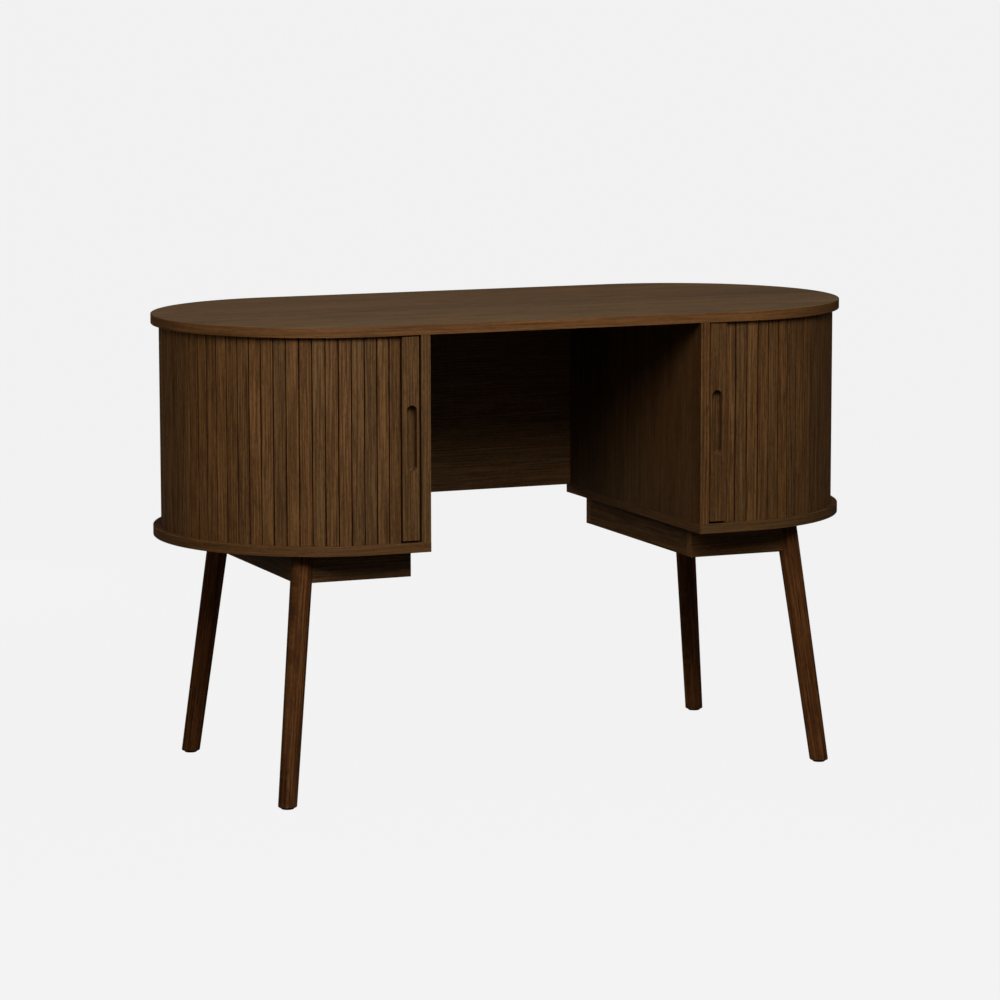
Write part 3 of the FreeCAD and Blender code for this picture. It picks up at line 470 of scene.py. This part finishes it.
def plastic(name, deep, pale, rough, grain):
    m, t, b = new_material(name)
    x, y, z = place(t)
    flow = noise(t, x * 60.0, y * 60.0, z * 110.0, detail=2.0)
    fine = noise(t, x * grain, y * grain, z * grain, detail=2.0)
    col = ramp(t, (flow * 1.1 + fine * 0.4 + 0.5).clamp(), [(0.0, deep), (1.0, pale)])
    t.links.new(col.socket, b.inputs["Base Color"])
    feed(t, (flow * 0.12 + fine * 0.10 + rough).clamp(), b.inputs["Roughness"])
    b.inputs["Specular IOR Level"].default_value = 0.4
    bump(t, b, fine, 0.00008, 0.5)
    return m


M["canvas"] = canvas()
M["zinc"] = zinc()
M["glide"] = plastic("glide_plastic", (0.006, 0.006, 0.007), (0.020, 0.019, 0.018), 0.52, 1500.0)
M["cap"] = plastic("cap_plastic", (0.026, 0.013, 0.007), (0.055, 0.029, 0.015), 0.45, 1300.0)

LOOK = {
    "desk_top": "top_veneer", "desk_top_edge_band": "edge_veneer", "bottom_edge_band": "bottom_edge_veneer",
    "bottom_panel": "bottom_veneer", "side_panel": "side_veneer", "modesty_panel": "modesty_veneer", "shelf": "shelf_veneer",
    "rear_shell": "shell", "tambour_slats": "tambour", "tail_batten": "tail", "handle_stile": "stile",
    "plinth_front_rail": "plinth", "plinth_back_rail": "plinth", "plinth_inner_rail": "plinth", "plinth_outer_rail": "plinth",
    "front_leg": "leg", "back_leg": "leg", "shell_batten": "inner_wood", "canvas_clamp_strip": "inner_wood",
    "corner_blocks": "inner_wood", "wood_dowels": "inner_wood", "tambour_canvas": "canvas",
    "leg_glides": "glide", "cam_cover_caps": "cap",
}
for name, obj in NODES.items():
    base = name.split("_", 1)[1] if name.startswith(("left_", "right_")) else name
    mat = M[LOOK.get(base, "zinc")]
    if not obj.material_slots:
        obj.data.materials.append(mat)
    for s in obj.material_slots:
        s.material = mat

# ---------------------------------------------------------------- floor
PALE = 0.8879             # the pale ground's brightness
FLOOR_LIT = 0.012         # how much of the light the floor shows
FLOOR_GLOW = 0.882        # its own even brightness, so that its shadow stays faint
FLOOR_BOUNCE = 0.12       # how much it sends back up to the desk
SKY_LOW, SKY_HIGH = 0.036, 0.11
fl = bpy.data.meshes.new("studio_floor")
E = 220.0
fl.from_pydata([(-E, -E, -0.0002), (E, -E, -0.0002), (E, E, -0.0002), (-E, E, -0.0002)], [], [(0, 1, 2, 3)])
floor = bpy.data.objects.new("studio_floor", fl)
bpy.context.scene.collection.objects.link(floor)
fm = bpy.data.materials.new("studio_floor")
fm.use_nodes = True
ft = fm.node_tree
ft.nodes.clear()
fo = ft.nodes.new("ShaderNodeOutputMaterial")
lit = ft.nodes.new("ShaderNodeBsdfDiffuse")
glowing = ft.nodes.new("ShaderNodeEmission")
seen = ft.nodes.new("ShaderNodeAddShader")
bounce = ft.nodes.new("ShaderNodeBsdfDiffuse")
lit.inputs["Color"].default_value = (FLOOR_LIT, FLOOR_LIT, FLOOR_LIT, 1)
glowing.inputs["Color"].default_value = (FLOOR_GLOW, FLOOR_GLOW, FLOOR_GLOW, 1)
bounce.inputs["Color"].default_value = (FLOOR_BOUNCE, FLOOR_BOUNCE, FLOOR_BOUNCE, 1)
ft.links.new(lit.outputs[0], seen.inputs[0])
ft.links.new(glowing.outputs[0], seen.inputs[1])
path = ft.nodes.new("ShaderNodeLightPath")
fmix = ft.nodes.new("ShaderNodeMixShader")
ft.links.new(path.outputs["Is Camera Ray"], fmix.inputs[0])
ft.links.new(bounce.outputs[0], fmix.inputs[1])
ft.links.new(seen.outputs[0], fmix.inputs[2])
ft.links.new(fmix.outputs[0], fo.inputs[0])
fl.materials.append(fm)

# ---------------------------------------------------------------- soft studio light
world = bpy.data.worlds.new("studio")
bpy.context.scene.world = world
world.use_nodes = True
wt = world.node_tree
wt.nodes.clear()
wo = wt.nodes.new("ShaderNodeOutputWorld")
sky = wt.nodes.new("ShaderNodeBackground")
backdrop = wt.nodes.new("ShaderNodeBackground")
backdrop.inputs["Color"].default_value = (PALE, PALE, PALE, 1)
wc = wt.nodes.new("ShaderNodeTexCoord")
ws = wt.nodes.new("ShaderNodeSeparateXYZ")
wt.links.new(wc.outputs["Generated"], ws.inputs[0])
up = V(wt, ws.outputs[2])
glow = up.smooth(-0.2, 0.9, SKY_LOW, SKY_HIGH)
wt.links.new(grey(wt, glow).socket, sky.inputs["Color"])
wp = wt.nodes.new("ShaderNodeLightPath")
wm = wt.nodes.new("ShaderNodeMixShader")
wt.links.new(wp.outputs["Is Camera Ray"], wm.inputs[0])
wt.links.new(sky.outputs[0], wm.inputs[1])
wt.links.new(backdrop.outputs[0], wm.inputs[2])
wt.links.new(wm.outputs[0], wo.inputs[0])


def softbox(name, azimuth, elevation, power, width, height, distance=2.7, glossy=True):
    """A square soft light aimed at the desk. Azimuth 0 shines from the front, positive from the right."""
    d = bpy.data.lights.new(name, "AREA")
    d.shape = "RECTANGLE"
    d.size, d.size_y = width, height
    d.energy = power
    o = bpy.data.objects.new(name, d)
    a, e = math.radians(azimuth), math.radians(elevation)
    to_light = Vector((math.sin(a) * math.cos(e), -math.cos(a) * math.cos(e), math.sin(e)))
    o.rotation_mode = "QUATERNION"
    o.rotation_quaternion = to_light.to_track_quat("Z", "Y")
    o.location = Vector((0.0, -0.1, 0.5)) + to_light * distance
    o.visible_glossy = glossy
    o.visible_camera = False
    bpy.context.scene.collection.objects.link(o)
    return o


softbox("key", -9.0, 37.0, 49.5, 0.9, 1.1)
softbox("side", -47.0, 33.0, 15.5, 0.8, 0.9)
softbox("high", -15.0, 79.0, 13.5, 0.9, 0.9)
softbox("low_left", -92.0, 12.0, 4.8, 0.8, 0.7, glossy=False)
softbox("rear", -165.0, 8.0, 19.0, 0.8, 0.7, glossy=False)
softbox("rear_right", 106.0, 13.0, 7.4, 0.8, 0.7, glossy=False)
softbox("front_mid", -10.0, 26.0, 2.2, 0.9, 0.6, glossy=False)
softbox("front_low", -16.0, 12.0, 0.35, 0.9, 0.6, glossy=False)

# ---------------------------------------------------------------- camera
YAW, PITCH, ROLL = math.radians(-22.635), math.radians(-8.092), math.radians(-0.099)
fwd = Vector((-math.sin(YAW) * math.cos(PITCH), math.cos(YAW) * math.cos(PITCH), math.sin(PITCH)))
right = Vector((math.cos(YAW), math.sin(YAW), 0.0))
upv = right.cross(fwd)
right, upv = right * math.cos(ROLL) + upv * math.sin(ROLL), upv * math.cos(ROLL) - right * math.sin(ROLL)
cam = bpy.data.cameras.new("camera")
cam.lens = 4.022645 * 36.0
cam.sensor_width = 36.0
cam.sensor_fit = "AUTO"
cam.clip_start, cam.clip_end = 0.1, 1000.0
camera = bpy.data.objects.new("camera", cam)
rot = Matrix((right, upv, -fwd)).transposed().to_4x4()
camera.matrix_world = Matrix.Translation((-2.584915, -6.193727, 1.393186)) @ rot
bpy.context.scene.collection.objects.link(camera)
bpy.context.scene.camera = camera

vs = bpy.context.scene.view_settings
vs.view_transform = "Standard"
vs.look = "None"
vs.exposure = 0.0
vs.gamma = 1.0
